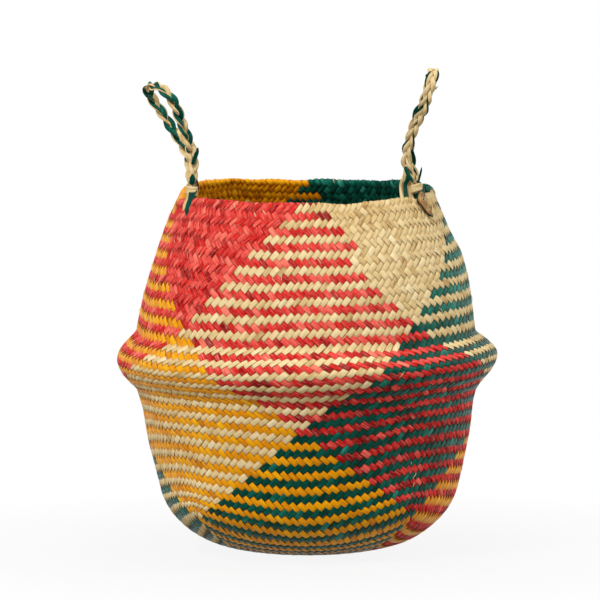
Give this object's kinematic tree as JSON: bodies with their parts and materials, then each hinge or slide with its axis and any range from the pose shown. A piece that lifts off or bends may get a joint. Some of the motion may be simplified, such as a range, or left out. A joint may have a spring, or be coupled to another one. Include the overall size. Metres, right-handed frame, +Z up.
{
  "type": "woven belly basket",
  "caption": "Round woven plant-fibre storage basket with a folded belly, an open mouth and braided loop handles on the rim.",
  "frame": {"origin": "on the floor under the middle of the base", "axes": "+Z up, front towards -Y, +X to the right of someone who faces the front"},
  "size_m": [0.3196, 0.3196, 0.4113],
  "materials": {
    "natural_strip": "undyed sedge strip, satin, fibrous",
    "red_strip": "sedge strip dyed red, satin, fibrous",
    "yellow_strip": "sedge strip dyed yellow, satin, fibrous",
    "green_strip": "sedge strip dyed dark green, satin, fibrous"
  },
  "bodies": {
    "lower": {"base_mat": "green_strip", "wall_turn": "yellow_strip", "lower_wall": "natural_strip", "belly_fold": "yellow_strip"},
    "upper": {"upper_wall": "red_strip", "rim_band": "natural_strip", "inner_hem": "yellow_strip", "rim_edge": "red_strip", "left_outer_tail": "natural_strip", "left_inner_tail": "green_strip", "right_outer_tail": "natural_strip", "right_inner_tail": "green_strip"},
    "left_handle": {"left_strand_1": "natural_strip", "left_strand_2": "green_strip", "left_strand_3": "green_strip", "left_binding": "natural_strip"},
    "right_handle": {"right_strand_1": "natural_strip", "right_strand_2": "natural_strip", "right_strand_3": "green_strip", "right_binding": "natural_strip"}
  },
  "joints": [
    {"name": "belly_press", "type": "slide", "parent": "lower", "child": "upper", "axis": [0, 0, 1], "range_m": [-0.03, 0.006], "deforming": ["belly_fold"]},
    {"name": "left_handle_swing", "type": "hinge", "parent": "upper", "child": "left_handle", "pos_m": [-0.09714, -0.04024, 0.30892], "axis": [0.3827, -0.9239, 0], "range_deg": [-70, 100]},
    {"name": "right_handle_swing", "type": "hinge", "parent": "upper", "child": "right_handle", "pos_m": [0.09155, -0.0518, 0.30902], "axis": [0.4924, 0.8704, 0], "range_deg": [-70, 100]}
  ]
}
